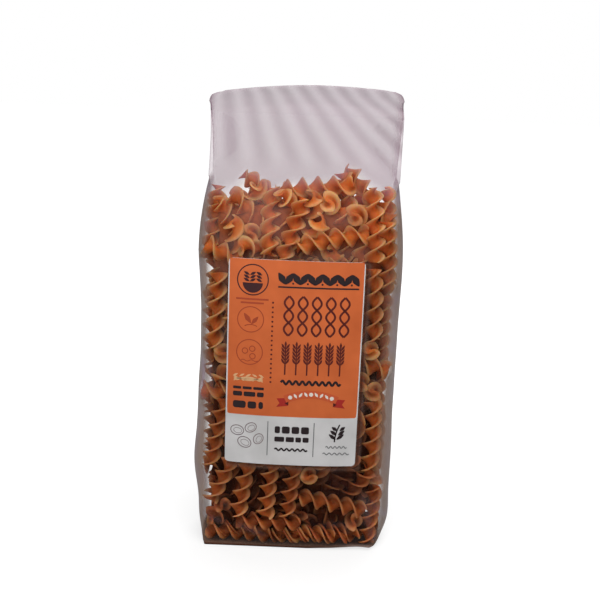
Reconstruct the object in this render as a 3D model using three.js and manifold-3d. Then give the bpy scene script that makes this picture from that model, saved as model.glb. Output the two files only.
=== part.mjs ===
// A sealed clear film bag of twisted pasta, standing on its folded flat bottom, with a paper label in front.
// The bag is one solid out to the film: the pasta presses it out below, and it narrows to a flat seal above.
// Millimetres. +Z is up, the front faces -Y, and the origin is the middle of the bottom.
import * as THREE from 'three';
import { mergeVertices } from 'three/addons/utils/BufferGeometryUtils.js';
import Module from 'manifold-3d';

// Driving dimensions of the bag
const bagHeight = 250.5; // floor to the highest point of the top edge
const panelHalfWidth = 48.6; // half of the flat width of the front and the back panel
const baseHalfWidth = { left: 46.5, right: 44.5 };
const baseHalfDepth = 20;
// The bottom's front right corner is drawn up off the floor. The rise starts at these shares of the half
// width and the half depth, and it is gone at fadeHeight.
const cornerLift = { rise: 2, fromAcross: 0.1, fromDeep: 0.4, fadeHeight: 30 };
const bodyHalfDepth = 19.5; // at the corner creases, where the pasta fills the bag
const frontSwell = 5.5; // how far the middle of the front stands out past its creases
const backSwell = 6.2;
const sealHalfThickness = 0.5; // four layers of film, welded
const sealFoot = 243; // height where the seal begins
const fillHeight = 198; // mean height of the pasta
// The top edge arches up between its ends: how far each end lies lower, and how late it bends down
const topDroop = { left: 5.5, right: 2, leftPower: 1.7, rightPower: 2, crownAt: 0.16 };
// A higher power keeps a panel or a side flatter in its middle and rounder next to its creases
const panelPower = 2.6;
const sidePower = 2.2;

// Driving dimensions of the label
const labelWidth = 70;
const labelHeight = 112;
const labelCentre = { x: -1, z: 108 };
const labelCornerRadius = 2;
const labelThickness = 0.4;
const gap = 0.3; // between the film and the label
const flatMargin = { from: 1, to: 5 }; // past the label's edge, over which the film gets lumpy again
const labelCells = [16, 1, 12];
const cutterDepth = 60; // of the block with the label's outline, well past the bag's front

// Pasta twists that press the film out
const twistLength = 36;
const twistRadius = 5;
const pressDepth = 1.3; // how far a twist pushes the film out
const pressStep = { across: 11, up: 27 }; // spacing of the twists that lie against the film
const pressSpread = { across: 5, up: 10, lean: 1.6 }; // how much they vary about it; the lean in radians
const pressFade = 6; // power that fades them out at a panel's side creases
const pressSeeds = { front: 11, back: 23, left: 37, right: 41 };
// Heights over which the lumps come in above the bottom and go out near the pasta's top
const lumpy = { in: [2, 14], out: [180, 206] };

// Grid of the bag's surface
const cells = { across: 24, deep: 8, up: 54 };

// Smooth curve through [height, value] stations, read at any height.
function profile(stations) {
  const curve = new THREE.CubicInterpolant(
    stations.map(([height]) => height),
    stations.map(([, value]) => value),
    1,
  );
  return (height) => curve.evaluate(height)[0];
}

// Distance of a panel's side crease from the middle of the bag
const creaseX = {
  left: profile([
    [0, baseHalfWidth.left],
    [14, 48],
    [30, panelHalfWidth],
    [bagHeight, panelHalfWidth],
  ]),
  right: profile([
    [0, baseHalfWidth.right],
    [6, 46.6],
    [14, 48],
    [30, panelHalfWidth],
    [180, panelHalfWidth],
    [206, 50.4],
    [236, 50.8],
    [bagHeight, 49],
  ]),
};

// Half of the distance between the front and the back creases
const creaseY = profile([
  [0, baseHalfDepth],
  [14, 20.5],
  [40, bodyHalfDepth],
  [160, bodyHalfDepth],
  [180, 17.4],
  [200, 13.2],
  [220, 7.6],
  [234, 3.4],
  [sealFoot, sealHalfThickness],
  [bagHeight, sealHalfThickness],
]);

// Share of a panel's swell that is there at a height
const swell = profile([
  [0, 0],
  [6, 0.3],
  [16, 0.72],
  [40, 1],
  [160, 1],
  [185, 0.85],
  [210, 0.5],
  [230, 0.2],
  [sealFoot, 0],
  [bagHeight, 0],
]);

// How far the fold in the middle of each side stands out past the creases. Below zero it is tucked in.
const sideOut = {
  left: profile([
    [0, 2.6],
    [4, 4.2],
    [10, 4.8],
    [22, 3.6],
    [38, 6.8],
    [50, 6.4],
    [64, 5],
    [90, 3.8],
    [126, 2.4],
    [150, 4.4],
    [168, 5.6],
    [190, 3.2],
    [204, 0],
    [220, -14],
    [236, -12],
    [sealFoot, 0],
    [bagHeight, 0],
  ]),
  right: profile([
    [0, 5.5],
    [4, 8.4],
    [10, 9.4],
    [20, 8.2],
    [36, 7.2],
    [70, 6.8],
    [116, 7],
    [150, 8],
    [168, 7.4],
    [190, 3.4],
    [204, 0],
    [220, -14],
    [236, -12],
    [sealFoot, 0],
    [bagHeight, 0],
  ]),
};

// Repeatable draws from 0 to 1.
function seeded(seed) {
  const factor = 48271;
  const modulus = 2147483647;
  let state = seed;
  return () => {
    state = (state * factor) % modulus;
    return state / modulus;
  };
}

// Twists that lie against a panel, one near each place of a staggered grid.
function pressedTwists(halfWidth, seed) {
  const draw = seeded(seed);
  const twists = [];
  for (let row = 0, z = pressStep.up / 2; z < fillHeight; row++, z += pressStep.up) {
    const stagger = ((row % 2) * pressStep.across) / 2;
    for (let x = stagger - halfWidth; x <= halfWidth; x += pressStep.across) {
      twists.push({
        x: x + (draw() - 0.5) * pressSpread.across,
        z: z + (draw() - 0.5) * pressSpread.up,
        lean: (draw() - 0.5) * pressSpread.lean,
        press: pressDepth * (0.5 + 0.5 * draw()),
      });
    }
  }
  return twists;
}

// Height of the round back of the nearest twist over a panel, at a place on it.
function relief(twists, across, height) {
  let most = 0;
  for (const { x, z, lean, press } of twists) {
    const along = (across - x) * Math.sin(lean) + (height - z) * Math.cos(lean);
    const beside = (across - x) * Math.cos(lean) - (height - z) * Math.sin(lean);
    const past = Math.max(0, Math.abs(along) - twistLength / 2 + twistRadius);
    const away = Math.hypot(beside, past) / twistRadius;
    if (away < 1) most = Math.max(most, press * Math.sqrt(1 - away * away));
  }
  return most;
}

const frontTwists = pressedTwists(panelHalfWidth, pressSeeds.front);
const backTwists = pressedTwists(panelHalfWidth, pressSeeds.back);
const leftTwists = pressedTwists(bodyHalfDepth, pressSeeds.left);
const rightTwists = pressedTwists(bodyHalfDepth, pressSeeds.right);

// 1 inside the filled part of the bag, fading to 0 at the bottom and above the pasta.
function filled(height) {
  const { smoothstep } = THREE.MathUtils;
  return smoothstep(height, ...lumpy.in) * (1 - smoothstep(height, ...lumpy.out));
}

// 1 away from the label, 0 under it, where the paper keeps the film flat.
function besideLabel(x, height) {
  const outX = Math.abs(x - labelCentre.x) - labelWidth / 2;
  const outZ = Math.abs(height - labelCentre.z) - labelHeight / 2;
  return THREE.MathUtils.smoothstep(Math.max(outX, outZ), flatMargin.from, flatMargin.to);
}

// Distance of the smooth front or back panel from the middle of the bag. across runs from -1 to 1.
function panelDepth(across, height, mostSwell) {
  return creaseY(height) + mostSwell * swell(height) * (1 - Math.abs(across) ** panelPower);
}

// How far the top edge lies under its crown, which is a little right of the middle.
function droop(across) {
  const { left, right, leftPower, rightPower, crownAt } = topDroop;
  return across < crownAt
    ? left * ((crownAt - across) / (1 + crownAt)) ** leftPower
    : right * ((across - crownAt) / (1 - crownAt)) ** rightPower;
}

// Rise of the bottom's front right corner, gone a little way up the bag.
function lift(across, deep, height) {
  const { rise, fromAcross, fromDeep, fadeHeight } = cornerLift;
  const { smoothstep } = THREE.MathUtils;
  const nearCorner = smoothstep(across, fromAcross, 1) * smoothstep(-deep, fromDeep, 1);
  return rise * nearCorner * (1 - smoothstep(height, 0, fadeHeight));
}

// The place on the bag of a point of a box from -1 to 1 across and deep, and from 0 to 1 up.
function placeOnBag(across, deep, up) {
  const height = up * bagHeight;
  const side = across < 0 ? 'left' : 'right';
  const x = across * creaseX[side](height);
  const fold = sideOut[side](height);
  const round = 1 - Math.abs(deep) ** sidePower;
  const creased = 1 - Math.abs(deep);
  const sideTwists = across < 0 ? leftTwists : rightTwists;
  const sidePress = relief(sideTwists, deep * bodyHalfDepth, height) * filled(height) * round;

  const frontOrBack = deep < 0 ? frontTwists : backTwists;
  const flattened = deep < 0 ? besideLabel(x, height) : 1;
  const press = relief(frontOrBack, x, height) * filled(height) * flattened * (1 - across ** pressFade);
  const depth = panelDepth(across, height, deep < 0 ? frontSwell : backSwell) + press;

  const outward = fold * (fold > 0 ? round : creased) + (Math.abs(across) === 1 ? sidePress : 0);
  const drop = droop(across) * THREE.MathUtils.smoothstep(height, fillHeight, bagHeight);
  return [x + across * outward, deep * depth, height - drop + lift(across, deep, height)];
}

// A box with a grid on each face, with every point moved to where place(x, y, z) puts it.
function shapedBox(size, segments, place) {
  const box = new THREE.BoxGeometry(...size, ...segments);
  box.deleteAttribute('normal');
  box.deleteAttribute('uv');
  const merged = mergeVertices(box);
  const position = merged.getAttribute('position');
  for (let i = 0; i < position.count; i++) {
    position.setXYZ(i, ...place(position.getX(i), position.getY(i), position.getZ(i)));
  }
  return merged;
}

function bagGeometry() {
  return shapedBox([2, 2, 1], [cells.across, cells.deep, cells.up], (x, y, z) => placeOnBag(x, y, z + 0.5));
}

// The label's paper before its corners are rounded: a slab that follows the front panel.
function labelSlab() {
  const { x: centreX, z: centreZ } = labelCentre;
  return shapedBox([labelWidth, labelThickness, labelHeight], labelCells, (x, y, z) => {
    const across = (x + centreX) / panelHalfWidth;
    const height = z + centreZ;
    return [x + centreX, y - labelThickness / 2 - gap - panelDepth(across, height, frontSwell), height];
  });
}

// A straight block with the label's rounded outline, deep enough to cut the curved slab.
function labelOutline() {
  const halfX = labelWidth / 2;
  const halfZ = labelHeight / 2;
  const r = labelCornerRadius;
  const outline = new THREE.Shape();
  outline.absarc(halfX - r, halfZ - r, r, 0, Math.PI / 2);
  outline.absarc(r - halfX, halfZ - r, r, Math.PI / 2, Math.PI);
  outline.absarc(r - halfX, r - halfZ, r, Math.PI, Math.PI * 1.5);
  outline.absarc(halfX - r, r - halfZ, r, Math.PI * 1.5, Math.PI * 2);
  const block = new THREE.ExtrudeGeometry(outline, {
    depth: cutterDepth,
    bevelEnabled: false,
    curveSegments: 6,
  });
  block.rotateX(Math.PI / 2); // the outline now stands up, and the block runs from y = 0 to the front
  return block.translate(labelCentre.x, 0, labelCentre.z);
}

const wasm = await Module();
wasm.setup();

// A closed three.js geometry as a solid that can be cut.
function toSolid(geometry) {
  const bare = geometry.clone();
  bare.deleteAttribute('normal');
  bare.deleteAttribute('uv');
  const merged = mergeVertices(bare, 1e-4);
  return new wasm.Manifold(
    new wasm.Mesh({
      numProp: 3,
      vertProperties: merged.getAttribute('position').array,
      triVerts: new Uint32Array(merged.index.array),
    }),
  );
}

function toGeometry(solid) {
  const { vertProperties, triVerts } = solid.getMesh();
  const geometry = new THREE.BufferGeometry();
  geometry.setAttribute('position', new THREE.BufferAttribute(vertProperties, 3));
  geometry.setIndex(new THREE.BufferAttribute(triVerts, 1));
  return geometry;
}

function labelGeometry() {
  return toGeometry(toSolid(labelSlab()).intersect(toSolid(labelOutline())));
}

function piece(name, geometry, colour, roughness) {
  const faceted = geometry.toNonIndexed();
  faceted.computeVertexNormals();
  const material = new THREE.MeshStandardMaterial({ color: colour, roughness, metalness: 0 });
  const mesh = new THREE.Mesh(faceted, material);
  mesh.name = name;
  return mesh;
}

const bagOfPasta = new THREE.Group();
bagOfPasta.add(piece('bag', bagGeometry(), 0xa8693c, 0.35));
bagOfPasta.add(piece('label', labelGeometry(), 0xc4602c, 0.7));

export default bagOfPasta;
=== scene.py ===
import math

import bmesh
import bpy
import numpy as np
from mathutils import Matrix, Vector, noise
from mathutils.bvhtree import BVHTree


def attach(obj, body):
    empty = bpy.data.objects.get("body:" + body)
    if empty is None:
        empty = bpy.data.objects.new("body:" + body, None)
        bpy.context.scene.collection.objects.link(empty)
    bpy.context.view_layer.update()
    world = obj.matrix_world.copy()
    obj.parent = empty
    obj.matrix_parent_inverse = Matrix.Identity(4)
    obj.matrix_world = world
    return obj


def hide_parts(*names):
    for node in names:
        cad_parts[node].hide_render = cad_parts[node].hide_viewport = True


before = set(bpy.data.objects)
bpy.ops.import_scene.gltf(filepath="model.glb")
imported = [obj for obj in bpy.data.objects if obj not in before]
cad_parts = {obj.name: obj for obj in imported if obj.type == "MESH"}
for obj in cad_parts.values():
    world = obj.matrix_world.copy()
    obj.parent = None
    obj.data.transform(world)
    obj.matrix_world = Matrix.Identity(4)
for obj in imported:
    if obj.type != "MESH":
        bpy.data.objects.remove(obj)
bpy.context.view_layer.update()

mm = 0.001
sharpAngle = 70  # degrees, from which an edge is shaded sharp
mergeWithin = 0.01  # mm
scene = bpy.context.scene


def newPiece(name, bm, materials):
    mesh = bpy.data.meshes.new(name)
    bm.to_mesh(mesh)
    bm.free()
    for material in materials:
        mesh.materials.append(material)
    mesh.shade_smooth()
    mesh.set_sharp_from_angle(angle=math.radians(sharpAngle))
    piece = bpy.data.objects.new(name, mesh)
    scene.collection.objects.link(piece)
    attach(piece, "root")
    print(name, len(mesh.polygons), "faces")
    return piece


# the camera, at the photo's angle
view = {
    "eye": (1.2, -537.2, 277.2),  # mm
    "tiltDown": 15,
    "roll": 2.3,
    "lens": 60.5,
    "sensor": 36,
    "clip": (0.01, 50),  # m
}


def addCamera():
    camera = bpy.data.objects.new("Camera", bpy.data.cameras.new("Camera"))
    camera.data.lens = view["lens"]
    camera.data.sensor_width = view["sensor"]
    camera.data.clip_start, camera.data.clip_end = view["clip"]
    camera.matrix_world = (
        Matrix.Translation(Vector(view["eye"]) * mm)
        @ Matrix.Rotation(math.radians(90 - view["tiltDown"]), 4, "X")
        @ Matrix.Rotation(math.radians(view["roll"]), 4, "Z")
    )
    scene.collection.objects.link(camera)
    scene.camera = camera


addCamera()
print("camera ready")


def newMaterial(name):
    material = bpy.data.materials.new(name)
    material.use_nodes = True
    tree = material.node_tree
    shader = tree.nodes["Principled BSDF"]
    return material, tree, shader


def addNode(tree, kind, **values):
    node = tree.nodes.new(kind)
    for key, value in values.items():
        if hasattr(node, key):
            setattr(node, key, value)
        else:
            node.inputs[key.replace("_", " ")].default_value = value
    return node


def noiseOn(tree, scale, detail=2.0, stretch=(1, 1, 1)):
    coords = addNode(tree, "ShaderNodeTexCoord")
    mapping = addNode(tree, "ShaderNodeMapping")
    mapping.inputs["Scale"].default_value = stretch
    node = addNode(tree, "ShaderNodeTexNoise")
    node.inputs["Scale"].default_value = scale
    node.inputs["Detail"].default_value = detail
    tree.links.new(coords.outputs["Object"], mapping.inputs["Vector"])
    tree.links.new(mapping.outputs["Vector"], node.inputs["Vector"])
    return node.outputs["Fac"]


def attribute(tree, name):
    return addNode(tree, "ShaderNodeAttribute", attribute_name=name).outputs["Fac"]


def ranged(tree, value, fromLow, fromHigh, toLow, toHigh):
    node = addNode(tree, "ShaderNodeMapRange")
    tree.links.new(value, node.inputs["Value"])
    limits = {"From Min": fromLow, "From Max": fromHigh, "To Min": toLow, "To Max": toHigh}
    for key, number in limits.items():
        node.inputs[key].default_value = number
    return node.outputs["Result"]


def mathOn(tree, operation, a, b):
    node = addNode(tree, "ShaderNodeMath", operation=operation)
    for socket, value in zip(node.inputs, (a, b)):
        if isinstance(value, (int, float)):
            socket.default_value = value
        else:
            tree.links.new(value, socket)
    return node.outputs[0]


def blended(tree, share, a, b):
    node = addNode(tree, "ShaderNodeMix", data_type="RGBA")
    tree.links.new(share, node.inputs["Factor"])
    for socket, value in ((node.inputs[6], a), (node.inputs[7], b)):
        if isinstance(value, tuple):
            socket.default_value = (*value, 1)
        else:
            tree.links.new(value, socket)
    return node.outputs[2]


def patchesOn(tree, spec):
    return ranged(tree, noiseOn(tree, spec["scale"], spec["detail"]), *spec["from"], 0, 1)


def bumpFrom(tree, shader, height, distance, strength):
    node = addNode(tree, "ShaderNodeBump")
    node.inputs["Strength"].default_value = strength
    node.inputs["Distance"].default_value = distance
    tree.links.new(height, node.inputs["Height"])
    tree.links.new(node.outputs["Normal"], shader.inputs["Normal"])


# the bag's smooth form, before anything presses on it
form = {
    "smoothPasses": 6,
    "smoothFrom": 3.0,  # mm, clear of the flat bottom
    "smoothTo": 200.0,  # above it the side folds are thin and stay sharp
    "joinAngles": (50, 70),  # degrees, of faces and of sides, up to which two triangles become one face
    "cuts": 3,
    # how far out, and between which heights, the walls are measured, with the step in between
    "wallX": 46.0,
    "wallY": 18.0,
    "wallZ": (2.0, 250.0),
    "wallStep": 4.0,
}


def smoothBody(bm, passes):
    # sideways only, and not the flat bottom or the thin folds on top
    body = [v for v in bm.verts if form["smoothFrom"] < v.co.z / mm < form["smoothTo"]]
    for _ in range(passes):
        bmesh.ops.smooth_vert(
            bm, verts=body, factor=0.5, use_axis_x=True, use_axis_y=True, use_axis_z=False
        )


def smoothForm():
    bm = bmesh.new()
    bm.from_mesh(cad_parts["bag"].data)
    bmesh.ops.remove_doubles(bm, verts=bm.verts, dist=mergeWithin * mm)
    faceAngle, shapeAngle = (math.radians(angle) for angle in form["joinAngles"])
    bmesh.ops.join_triangles(
        bm, faces=bm.faces, angle_face_threshold=faceAngle, angle_shape_threshold=shapeAngle
    )
    smoothBody(bm, form["smoothPasses"])
    return bm


bagForm = smoothForm()
bagTree = BVHTree.FromBMesh(bagForm)
print("smooth form", len(bagForm.verts), "vertices", len(bagForm.faces), "faces")


def smoothStep(value, low, high):
    share = np.clip((value - low) / (high - low), 0, 1)
    return share * share * (3 - 2 * share)


def lineAt(points, value):
    # the height of a line through some points, or how far out it is
    return np.interp(value, *np.transpose(points))


def wallTable(across, heights, start, direction):
    # mm from the bag's middle plane out to its wall, at each place across and each height
    table = np.zeros((len(across), len(heights)))
    for i, a in enumerate(across):
        for k, z in enumerate(heights):
            hit = bagTree.ray_cast(Vector(start(a, z)) * mm, Vector(direction))
            table[i, k] = hit[3] / mm if hit[0] else 0
    return table


wallHeights = np.arange(*form["wallZ"], form["wallStep"])
wallX = np.arange(-form["wallX"], form["wallX"] + 0.1, form["wallStep"])
wallY = np.arange(-form["wallY"], form["wallY"] + 0.1, form["wallStep"])
walls = {
    "front": wallTable(wallX, wallHeights, lambda x, z: (x, 0, z), (0, -1, 0)),
    "back": wallTable(wallX, wallHeights, lambda x, z: (x, 0, z), (0, 1, 0)),
    "left": wallTable(wallY, wallHeights, lambda y, z: (0, y, z), (-1, 0, 0)),
    "right": wallTable(wallY, wallHeights, lambda y, z: (0, y, z), (1, 0, 0)),
}


def wallAt(name, across, height):
    table = walls[name]
    first = wallX[0] if name in ("front", "back") else wallY[0]
    u = np.clip((across - first) / form["wallStep"], 0, table.shape[0] - 1.001)
    v = np.clip((height - wallHeights[0]) / form["wallStep"], 0, table.shape[1] - 1.001)
    i, k = u.astype(int), v.astype(int)
    u, v = u - i, v - k
    return (
        table[i, k] * (1 - u) * (1 - v)
        + table[i + 1, k] * u * (1 - v)
        + table[i, k + 1] * (1 - u) * v
        + table[i + 1, k + 1] * u * v
    )


# where the twists lie
heap = {
    "loose": 186,
    "seed": 12,
    "rounds": 420,
    "pairsEvery": 6,  # rounds after which the list of near pairs is made again
    "nearby": 44.0,  # mm between the middles of two twists that may touch
    "push": 0.35,  # share of an overlap that one round takes away
    "shownMoves": 0.06,  # how much the twists that show give way, beside the loose ones
    "start": {"x": (-42, 42), "y": (-15, 15), "z": (7, 198)},  # the loose ones start anywhere in here
    "startLean": (1.0, 0.8, 0.9),  # how much their axes run along x, y and z
    "contact": 4.35,  # mm, half of the least way between two axes: twists nest in each other
    "radius": 5.8,  # with its bend
    "skin": 0.3,  # left between a twist and the film
    "paperGap": 0.9,  # more than that behind the label, which stays flat
    # this far below the label and this far from the middle the loose ones lie deeper, so dark gaps show
    "setBack": {"under": 4.0, "half": 36.0, "by": 8.0},
    "length": (34.0, 41.0),
    # how far out the heap reaches to each side, as height and mm: past it the side folds hold only air
    "leftReach": ((5, 46.5), (17, 49), (48, 51), (86, 52), (135, 52.6), (162, 54.2), (194, 50.6)),
    "rightReach": ((5, 51), (22, 54), (52, 51.6), (111, 52), (139, 51.6), (166, 53), (193, 51)),
    "labelX": (-36.5, 34.5),
    "labelZ": (51.5, 164.5),
    "labelFade": 2.0,
    # top of the heap, as x and z, which the loose twists stay a little under
    "contour": (
        (-50, 193), (-40, 202), (-33, 212), (-22, 203), (-14, 199), (-6, 205), (6, 203), (19, 204),
        (27, 212.5), (34, 207), (41, 203), (51, 193),
    ),
    "underContour": 4.0,
    "lowShadeShare": 0.66,  # share of a twist's tone that comes from its height: painted shade, the lower ones are darker
    "lowShadeUpTo": 112.0,  # above it they get no paler
    "litDepth": (5.0, 14.0),  # mm behind the film, over which the pasta falls into the shade
    "litTop": (140.0, 165.0),  # over these heights the light comes in from the top too
    "darkest": 0.16,  # what is left of the colour in the shade
    # the foot of the heap is in the shade too, most of all round this x and below these heights
    "footShade": {"x": -14.0, "spread": 26.0, "z": (4, 16), "most": 0.7},
    # shorter ones in a row along the bottom edge, at these places along each side
    "bits": {
        "seed": 17,
        "size": 0.94,
        "length": 20.0,
        "pitch": 15.4,
        "bend": 0.4,
        "lean": 18.0,
        # their tones are low, as painted shade at the foot of the heap, and random in between
        "tones": (0.05, 0.6),
        "along": {
            "front": (-31, -15, 1, 16, 30),
            "back": (-30, -14, 2, 17, 31),
            "left": (0,),
            "right": (0,),
        },
    },
}

# Twists that show in front, each with its middle's x and z, its lean from upright to the right, its tip
# out of the panel in degrees, and how far its middle lies behind the film.
shown = (
    # below the label
    (-38, 41, 24, 0, 8), (-25.5, 35, 3, 0, 6), (-11.5, 36, 7, 0, 6), (4.8, 35, 4, 0, 6),
    (-42, 22, 10, 82, 22), (16, 42, 20, 70, 22), (24, 27, -78, 8, 8), (32, 43, -30, 78, 22),
    (43, 34, 60, 60, 18), (35, 12, -10, 84, 22), (-12, 12, -86, 0, 6), (-33, 8, -96, 0, 6),
    (14, 8, -90, 0, 6), (42, 21, -4, 10, 9),
    # above the label
    (-38, 200, 10, 80, 20), (-22, 195, -31, 0, 17), (-45, 186, -2, 0, 11), (-25, 187, -75, 35, 9),
    (-16, 190, 3, -22, 8), (-6, 177, 7, -12, 6), (-43, 163, 8, 8, 7), (-30, 167, -82, 10, 7),
    (-17, 168, -60, 55, 12), (-32, 183, -45, 0, 12), (26, 195, -4, 0, 12), (19, 192, 20, 78, 22),
    (36, 192, -30, 62, 16), (17, 173, -92, 6, 6), (32, 164, -3, 8, 7), (43, 172, -4, 0, 7),
    (42, 196, 60, 70, 14), (8, 164, -88, 0, 7), (-4, 196, -22, 10, 12), (8, 194, 82, 0, 12),
    # beside the label
    (-42, 134, 11, 0, 7), (-42, 106, 0, 80, 22), (-40, 86, -90, 10, 7), (-43, 68, 22, 0, 7),
    (40, 141, 0, 0, 7), (42, 112, 10, 82, 22), (39, 97, -20, 75, 20), (41, 82, 30, 72, 20),
    (42, 66, -2, 0, 7),
    # in the side folds
    (-47, 172, 10, 6, 20), (-47, 148, -9, 10, 25), (-47, 117, 9, 0, 21), (-47, 88, -8, -8, 26),
    (-47, 60, 8, 0, 22), (-45, 27, -6, 4, 27), (47, 178, -8, 8, 22), (47, 147, 9, 0, 26),
    (47, 120, -8, 0, 21), (47, 90, 8, -6, 25), (47, 62, -8, 0, 22), (47, 29, 8, 0, 24),
)


def closestOnAxes(a0, a1, b0, b1):
    # the places, from 0 to 1 along two rows of axes, at which each pair of them is nearest
    along, beside, between = a1 - a0, b1 - b0, a0 - b0
    a, e = (along**2).sum(1), (beside**2).sum(1)
    b, c, f = (along * beside).sum(1), (along * between).sum(1), (beside * between).sum(1)
    s = np.clip((b * f - c * e) / np.maximum(a * e - b * b, 1e-9), 0, 1)
    t = np.clip((b * s + f) / e, 0, 1)
    s = np.clip((b * t - c) / a, 0, 1)
    return s, t


def keepLength(ends, lengths):
    middle = ends.mean(1)
    direction = ends[:, 1] - ends[:, 0]
    direction /= np.linalg.norm(direction, axis=1)[:, None]
    half = direction * lengths[:, None] / 2
    ends[:, 0], ends[:, 1] = middle - half, middle + half


def behindLabel(x, z):
    outX = np.maximum(heap["labelX"][0] - x, x - heap["labelX"][1])
    outZ = np.maximum(heap["labelZ"][0] - z, z - heap["labelZ"][1])
    return np.clip(1 - np.maximum(outX, outZ) / heap["labelFade"], 0, 1)


def keepInside(ends, loose):
    x, y, z = ends[..., 0], ends[..., 1], ends[..., 2]
    direction = ends[:, 1] - ends[:, 0]
    direction /= np.linalg.norm(direction, axis=1)[:, None]
    # a twist's flat end has corners, so one that leans takes up more room beyond its axis
    corner = heap["radius"] * np.sqrt(np.maximum(1 - direction**2, 0))
    gapX, gapY, gapZ = (heap["contact"] * np.abs(direction) + corner + heap["skin"]).T[:, :, None]
    top = lineAt(heap["contour"], x) - heap["underContour"] * loose[:, None]
    z[:] = np.minimum(z, top - gapZ + heap["skin"])
    z[:] = np.maximum(z, gapZ)
    inFront = wallAt("front", x, z) - gapY - heap["paperGap"] * behindLabel(x, z)
    setBack = heap["setBack"]
    isLow = (z < heap["labelZ"][0] - setBack["under"]) * (np.abs(x) < setBack["half"])
    inFront -= setBack["by"] * loose[:, None] * isLow
    y[:] = np.clip(y, -inFront, wallAt("back", x, z) - gapY)
    left = np.minimum(wallAt("left", y, z), lineAt(heap["leftReach"], z))
    right = np.minimum(wallAt("right", y, z), lineAt(heap["rightReach"], z))
    x[:] = np.clip(x, gapX - left, right - gapX)


def shownAxes():
    x, z, lean, tip, depth = np.array(shown, float).T
    lean, tip = np.radians(lean), np.radians(tip)
    direction = np.stack([np.sin(lean) * np.cos(tip), -np.sin(tip), np.cos(lean) * np.cos(tip)], 1)
    return np.stack([x, depth - wallAt("front", x, z), z], 1), direction


def packTwists():
    rng = np.random.default_rng(heap["seed"])
    loose = heap["loose"]
    middle = np.stack([rng.uniform(*heap["start"][axis], loose) for axis in "xyz"], 1)
    direction = rng.normal(size=(loose, 3)) * heap["startLean"]
    direction /= np.linalg.norm(direction, axis=1)[:, None]
    middleShown, directionShown = shownAxes()
    middle = np.concatenate([middleShown, middle])
    direction = np.concatenate([directionShown, direction])
    count = len(middle)
    mobility = np.where(np.arange(count) < len(middleShown), heap["shownMoves"], 1.0)
    full = rng.uniform(*heap["length"], count)
    lengths = full - 2 * heap["contact"]
    half = direction * lengths[:, None] / 2
    ends = np.stack([middle - half, middle + half], 1)
    for step in range(heap["rounds"]):
        if step % heap["pairsEvery"] == 0:
            middle = ends.mean(1)
            i, j = np.triu_indices(count, 1)
            near = np.linalg.norm(middle[i] - middle[j], axis=1) < heap["nearby"]
            i, j = i[near], j[near]
        s, t = closestOnAxes(ends[i, 0], ends[i, 1], ends[j, 0], ends[j, 1])
        here = ends[i, 0] * (1 - s)[:, None] + ends[i, 1] * s[:, None]
        there = ends[j, 0] * (1 - t)[:, None] + ends[j, 1] * t[:, None]
        apart = here - there
        distance = np.linalg.norm(apart, axis=1)
        hit = distance < 2 * heap["contact"]
        normal = apart[hit] / np.maximum(distance[hit], 1e-6)[:, None]
        s, t, first, second = s[hit], t[hit], i[hit], j[hit]
        weights = mobility[first] * ((1 - s) ** 2 + s**2) + mobility[second] * ((1 - t) ** 2 + t**2)
        push = (2 * heap["contact"] - distance[hit]) / weights * heap["push"]
        move = np.zeros_like(ends)
        for who, end, weight in ((first, 0, 1 - s), (first, 1, s), (second, 0, t - 1), (second, 1, -t)):
            np.add.at(move, (who, end), normal * (push * weight * mobility[who])[:, None])
        ends += move
        keepLength(ends, lengths)
        keepInside(ends, mobility == 1)
    keepLength(ends, lengths)
    overlap = np.maximum(2 * heap["contact"] - distance, 0)
    most = round(float(overlap.max()), 2)
    print("twists packed", count, "pairs that overlap", int(hit.sum()), "at most mm", most)
    return ends, full


twistEnds, twistLengths = packTwists()


def bitAxes():
    # round the foot of the bag, in the corner between the film and the floor
    spec = heap["bits"]
    rng = np.random.default_rng(spec["seed"])
    reach = spec["size"] * heap["radius"]
    half = spec["length"] / 2
    made = []
    for side, places in spec["along"].items():
        for along in places:
            lean = math.radians(rng.uniform(-spec["lean"], spec["lean"]))
            height = reach + 2 * heap["skin"] + (half - reach / 2) * abs(math.sin(lean))
            across = along + np.array((-1.0, 0.0, 1.0)) * (half + reach)
            out = wallAt(side, across, np.full(3, height)).min() - reach - 2 * heap["skin"]
            if side in ("left", "right"):
                middle = np.array((-out if side == "left" else out, along, height))
                direction = np.array((0, math.cos(lean), math.sin(lean)))
            else:
                middle = np.array((along, -out if side == "front" else out, height))
                direction = np.array((math.cos(lean), 0, math.sin(lean)))
            made.append((middle - direction * half, middle + direction * half))
    return np.array(made)


bitEnds = bitAxes()
pastaEnds = np.concatenate([twistEnds, bitEnds])
pastaLengths = np.append(twistLengths, [heap["bits"]["length"]] * len(bitEnds))


# the shape of a twist
twist = {
    "radius": 4.95,  # mm, from the axis to the middle of a blade's tip
    "thickness": 1.5,
    "bladeArc": 106,  # degrees that each half of the S bends through
    "wideAt": (40, 120),  # heights between which the twists get a little thicker
    "wide": (0.92, 1.0),
    "bladeSteps": 6,
    "tipSteps": 3,
    "turnSteps": 16,
    "edgeWidth": 1.4,  # mm, of the pale edge
    "swell": 0.03,  # share by which the thickness changes along it
    "swellWaves": 3.1,
    "bowShift": 0.4,  # keeps a bent twist about its axis
    "kinds": [
        {"length": 38.0, "pitch": 16.4, "bend": 0.9, "size": 0.96},
        {"length": 36.0, "pitch": 15.4, "bend": -0.8, "size": 1.0},
        {"length": 40.0, "pitch": 17.4, "bend": 0.5, "size": 0.94},
        {"length": 37.0, "pitch": 15.0, "bend": 1.2, "size": 1.0},
        {"length": 39.0, "pitch": 16.0, "bend": -1.1, "size": 0.97},
    ],
}


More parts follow.
